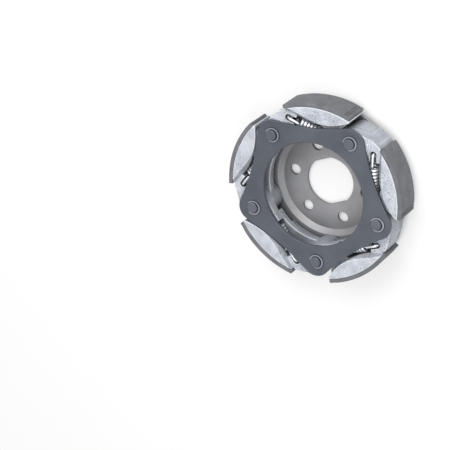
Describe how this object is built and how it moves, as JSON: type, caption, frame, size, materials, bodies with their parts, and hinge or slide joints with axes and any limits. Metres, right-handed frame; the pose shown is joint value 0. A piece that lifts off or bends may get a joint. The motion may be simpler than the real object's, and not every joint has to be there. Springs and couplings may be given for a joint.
{
  "type": "centrifugal clutch",
  "caption": "Centrifugal clutch: lined cast shoes swing out on pins between a dished drive plate and a flat cover plate, and springs pull them back.",
  "frame": {"origin": "centre of the centre hole, on the back face of the drive plate's flat floor", "axes": "+Z along the clutch axis from the drive plate towards the cover plate, +X through the axis of pivot pin 1; the clutch lies flat on the plate's floor at z = 0"},
  "size_m": [0.156, 0.157, 0.0388],
  "materials": {
    "plate_steel": "warm grey pressed sheet steel, satin, with a smooth rolled joggle",
    "cover_steel": "flat stamped steel with a dark blue-grey satin surface treatment",
    "pin_steel": "dark turned steel, satin",
    "clip_steel": "dark tempered spring steel",
    "cast_aluminium": "light as-cast aluminium, slightly blue, with fine pits and a tumbled surface",
    "friction_lining": "resin-bonded friction lining, warm dark grey, ground outside face with fine fibres",
    "spring_wire": "bright zinc-plated spring wire"
  },
  "bodies": {
    "carrier": {"drive_plate": "plate_steel", "cover_plate": "cover_steel", "pivot_pin_1": "pin_steel", "pivot_pin_2": "pin_steel", "pivot_pin_3": "pin_steel", "pivot_pin_4": "pin_steel", "pivot_pin_5": "pin_steel", "circlip_1": "clip_steel", "circlip_2": "clip_steel", "circlip_3": "clip_steel", "circlip_4": "clip_steel", "circlip_5": "clip_steel"},
    "shoe_arm_1": {"shoe_1": "cast_aluminium", "lining_1": "friction_lining", "return_spring_1": "spring_wire"},
    "shoe_arm_2": {"shoe_2": "cast_aluminium", "lining_2": "friction_lining", "return_spring_2": "spring_wire"},
    "shoe_arm_3": {"shoe_3": "cast_aluminium", "lining_3": "friction_lining", "return_spring_3": "spring_wire"},
    "shoe_arm_4": {"shoe_4": "cast_aluminium", "lining_4": "friction_lining", "return_spring_4": "spring_wire"},
    "shoe_arm_5": {"shoe_5": "cast_aluminium", "lining_5": "friction_lining", "return_spring_5": "spring_wire"}
  },
  "joints": [
    {"name": "shoe_1_swing", "type": "hinge", "parent": "carrier", "child": "shoe_arm_1", "pos_m": [0.0595, 0, 0.0205], "axis": [0, 0, 1], "range_deg": [0, 5], "stiffness_Nm_per_rad": 2.9, "springref_deg": -8.59, "deforming": ["return_spring_1"]},
    {"name": "shoe_2_swing", "type": "hinge", "parent": "carrier", "child": "shoe_arm_2", "pos_m": [0.01839, 0.05659, 0.0205], "axis": [0, 0, 1], "range_deg": [0, 5], "stiffness_Nm_per_rad": 2.9, "springref_deg": -8.59, "deforming": ["return_spring_2"]},
    {"name": "shoe_3_swing", "type": "hinge", "parent": "carrier", "child": "shoe_arm_3", "pos_m": [-0.04814, 0.03497, 0.0205], "axis": [0, 0, 1], "range_deg": [0, 5], "stiffness_Nm_per_rad": 2.9, "springref_deg": -8.59, "deforming": ["return_spring_3"]},
    {"name": "shoe_4_swing", "type": "hinge", "parent": "carrier", "child": "shoe_arm_4", "pos_m": [-0.04814, -0.03497, 0.0205], "axis": [0, 0, 1], "range_deg": [0, 5], "stiffness_Nm_per_rad": 2.9, "springref_deg": -8.59, "deforming": ["return_spring_4"]},
    {"name": "shoe_5_swing", "type": "hinge", "parent": "carrier", "child": "shoe_arm_5", "pos_m": [0.01839, -0.05659, 0.0205], "axis": [0, 0, 1], "range_deg": [0, 5], "stiffness_Nm_per_rad": 2.9, "springref_deg": -8.59, "deforming": ["return_spring_5"]}
  ]
}
